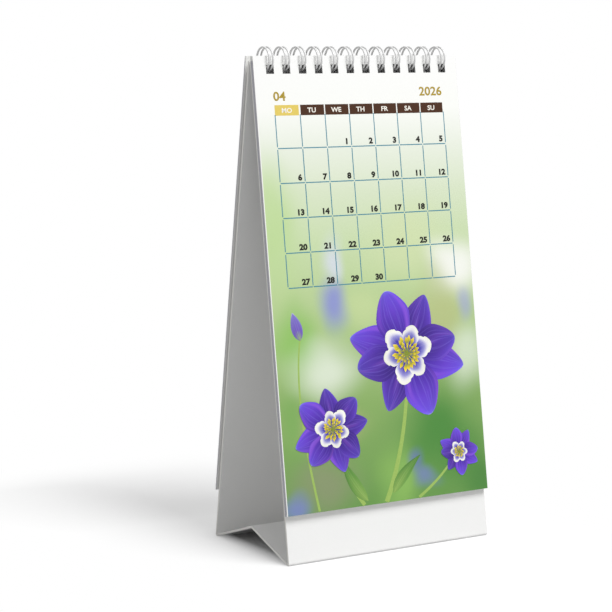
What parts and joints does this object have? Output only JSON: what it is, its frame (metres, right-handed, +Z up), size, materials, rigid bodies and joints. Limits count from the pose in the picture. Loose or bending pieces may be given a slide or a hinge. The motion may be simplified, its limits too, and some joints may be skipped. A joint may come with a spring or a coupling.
{
  "type": "spiral desk calendar",
  "caption": "Upright wire-bound desk calendar: punched month leaves on a twin-loop wire, hung over a folded card easel with a low ridged base.",
  "frame": {"origin": "middle of the footprint, on the surface that it stands on", "axes": "+Z up, -Y out of the front where the month on show faces, +X along the width, to the right as seen from the front"},
  "size_m": [0.11, 0.0666, 0.2286],
  "materials": {
    "white_card": "solid bleached boxboard, coated white, satin",
    "coated_wire": "white nylon-coated steel wire, glossy",
    "white_paper": "coated art paper, satin",
    "printed_paper": "coated art paper, printed on the front, satin"
  },
  "bodies": {
    "front_panel": {"front_panel": "white_card", "leaf_may": "white_paper", "leaf_june": "white_paper", "leaf_july": "white_paper", "leaf_august": "white_paper", "leaf_september": "white_paper", "leaf_october": "white_paper", "leaf_november": "white_paper", "leaf_december": "white_paper"},
    "back_panel": {"back_panel": "white_card", "wire_binding": "coated_wire", "leaf_january": "white_paper", "leaf_february": "white_paper", "leaf_march": "printed_paper"},
    "base_front": {"base_front_flap": "white_card", "ridge_crease": "white_card"},
    "base_back": {"base_back_flap": "white_card"},
    "leaf_on_show": {"leaf_april": "printed_paper"}
  },
  "joints": [
    {"name": "easel_fold", "type": "hinge", "parent": "front_panel", "child": "back_panel", "pos_m": [0, 0, 0.22272], "axis": [-1, 0, 0], "range_deg": [0, 15.86], "deforming": ["ridge_crease"]},
    {"name": "front_foot_crease", "type": "hinge", "parent": "front_panel", "child": "base_front", "pos_m": [0, -0.0322, 0.00105], "axis": [1, 0, 0], "range_deg": [0, 63.7]},
    {"name": "back_foot_crease", "type": "hinge", "parent": "back_panel", "child": "base_back", "pos_m": [0, 0.0322, 0.00105], "axis": [-1, 0, 0], "range_deg": [0, 63.7]},
    {"name": "front_leaf_turn", "type": "hinge", "parent": "front_panel", "child": "leaf_on_show", "pos_m": [0, 0.00015, 0.22262], "axis": [-1, 0, 0], "range_deg": [0, 175]}
  ],
  "couplings": [
    {"joint": "front_foot_crease", "follows": "easel_fold", "ratio": 4.014},
    {"joint": "back_foot_crease", "follows": "easel_fold", "ratio": 4.014}
  ]
}
